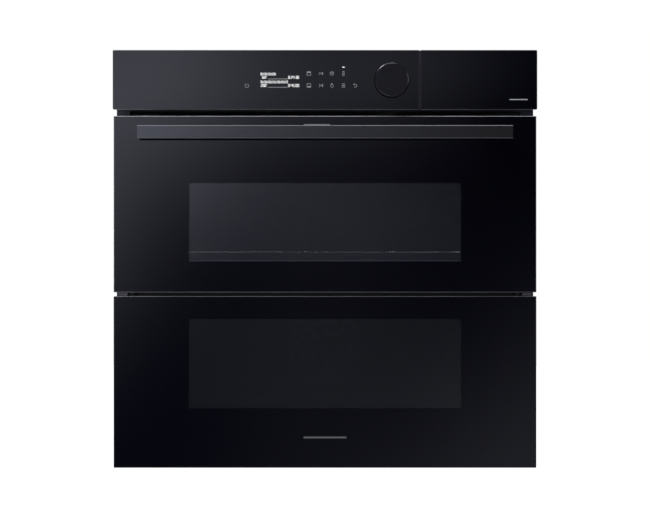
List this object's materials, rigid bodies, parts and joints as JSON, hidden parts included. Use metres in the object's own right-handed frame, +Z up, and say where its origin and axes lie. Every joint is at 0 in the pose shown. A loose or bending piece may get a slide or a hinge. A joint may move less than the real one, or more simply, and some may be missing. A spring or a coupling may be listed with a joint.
{
  "type": "built-in wall oven",
  "caption": "Built-in electric wall oven with black glass front, split folding door, full-width handle bar, dial, water tank drawer and enamelled cavity with racks.",
  "frame": {"origin": "middle of the oven's footprint at the level of its feet", "axes": "+Z up, the glass front faces -Y, +X to the right of a person facing it is the tank side"},
  "size_m": [0.595, 0.611, 0.5885],
  "materials": {
    "galvanised": "matte galvanised sheet",
    "frame_steel": "dark satin coat",
    "enamel": "glossy dark enamel",
    "glass_wool": "matte wool",
    "gasket": "woven fibre",
    "heater": "oxidised steel tube",
    "motor": "satin",
    "ceramic": "matte ceramic",
    "clear_glass": "clear",
    "rack_chrome": "bright",
    "board": "matte",
    "dark_plastic": "matte",
    "grey_plastic": "matte",
    "black_glass": "gloss black printed glass",
    "metal_part": "satin",
    "hinge_steel": "satin zinc plate",
    "foot_rubber": "matte",
    "handle_metal": "dark anodised",
    "dial_metal": "dark anodised",
    "tank_plastic": "translucent"
  },
  "bodies": {
    "casing": {"base_pan": "galvanised", "feet": "foot_rubber", "side_panel_left": "galvanised", "side_panel_right": "galvanised", "top_cover": "galvanised", "rear_cover": "galvanised", "front_frame": "frame_steel", "cavity_liner": "enamel", "insulation": "glass_wool", "cavity_gasket": "gasket", "fan_cover": "enamel", "ring_heaters": "heater", "motors": "motor", "grill_heater": "heater", "bottom_heater": "heater", "lamp_housing": "ceramic", "lamp_glass": "clear_glass", "side_rack_left": "rack_chrome", "side_rack_right": "rack_chrome", "temperature_probe": "rack_chrome", "air_duct": "galvanised", "blower_housing": "galvanised", "control_board": "board", "display_module": "dark_plastic", "panel_frame": "dark_plastic", "panel_glass": "black_glass", "dial_encoder": "metal_part", "tank_housing": "dark_plastic", "steam_pump": "grey_plastic", "terminal_block": "dark_plastic", "hinge_arms": "hinge_steel", "casing_screws": "metal_part"},
    "lower_door": {"lower_glass": "black_glass", "lower_columns": "frame_steel", "lower_panes": "clear_glass", "lower_bottom_trim": "frame_steel", "lower_top_trim": "frame_steel", "hinge_cases": "hinge_steel", "hinge_pins": "metal_part", "split_seal": "gasket"},
    "upper_door": {"upper_glass": "black_glass", "upper_columns": "frame_steel", "upper_panes": "clear_glass", "upper_bottom_trim": "frame_steel", "upper_top_trim": "frame_steel", "handle_bar": "handle_metal", "handle_posts": "handle_metal"},
    "release": {"release_lever": "handle_metal"},
    "bolts": {"latch_bolts": "metal_part"},
    "dial_push": {"dial_plunger": "metal_part"},
    "dial": {"dial_knob": "dial_metal"},
    "water_tank": {"tank_front": "black_glass", "tank_tub": "tank_plastic", "tank_lid": "tank_plastic"},
    "divider": {"divider": "enamel"},
    "shelf": {"wire_shelf": "rack_chrome"},
    "tray": {"baking_tray": "enamel"},
    "fan_upper": {"convection_fan_upper": "metal_part"},
    "fan_lower": {"convection_fan_lower": "metal_part"},
    "blower": {"blower_wheel": "dark_plastic"}
  },
  "joints": [
    {"name": "lower_door_hinge", "type": "hinge", "parent": "casing", "child": "lower_door", "pos_m": [0, -0.2535, 0.011], "axis": [1, 0, 0], "range_deg": [0, 90], "stiffness_Nm_per_rad": 12, "springref_deg": -20.05},
    {"name": "upper_door_hinge", "type": "hinge", "parent": "lower_door", "child": "upper_door", "pos_m": [0, -0.2618, 0.24625], "axis": [1, 0, 0], "range_deg": [0, 85], "stiffness_Nm_per_rad": 4, "springref_deg": -20.05},
    {"name": "release_press", "type": "slide", "parent": "upper_door", "child": "release", "axis": [0, 0, -1], "range_m": [0, 0.003], "stiffness_N_per_m": 400, "springref_m": -0.002},
    {"name": "bolt_lift", "type": "slide", "parent": "upper_door", "child": "bolts", "axis": [0, 0, 1], "range_m": [0, 0.008]},
    {"name": "dial_press", "type": "slide", "parent": "casing", "child": "dial_push", "axis": [0, 1, 0], "range_m": [0, 0.0012], "stiffness_N_per_m": 3000, "springref_m": -0.0005},
    {"name": "dial_turn", "type": "hinge", "parent": "dial_push", "child": "dial", "pos_m": [0.0933, -0.2735, 0.5461], "axis": [0, -1, 0], "continuous": true},
    {"name": "tank_slide", "type": "slide", "parent": "casing", "child": "water_tank", "axis": [0, -1, 0], "range_m": [0, 0.2]},
    {"name": "divider_slide", "type": "slide", "parent": "casing", "child": "divider", "axis": [0, -1, 0], "range_m": [0, 0.008]},
    {"name": "shelf_slide", "type": "slide", "parent": "casing", "child": "shelf", "axis": [0, -1, 0], "range_m": [0, 0.01]},
    {"name": "tray_slide", "type": "slide", "parent": "casing", "child": "tray", "axis": [0, -1, 0], "range_m": [0, 0.01]},
    {"name": "fan_upper_spin", "type": "hinge", "parent": "casing", "child": "fan_upper", "pos_m": [0, 0.1965, 0.332], "axis": [0, -1, 0], "continuous": true},
    {"name": "fan_lower_spin", "type": "hinge", "parent": "casing", "child": "fan_lower", "pos_m": [0, 0.1965, 0.162], "axis": [0, -1, 0], "continuous": true},
    {"name": "blower_spin", "type": "hinge", "parent": "casing", "child": "blower", "pos_m": [0, 0.0865, 0.5], "axis": [0, 0, 1], "continuous": true}
  ],
  "couplings": [
    {"joint": "bolt_lift", "follows": "release_press", "ratio": 2.6666}
  ]
}
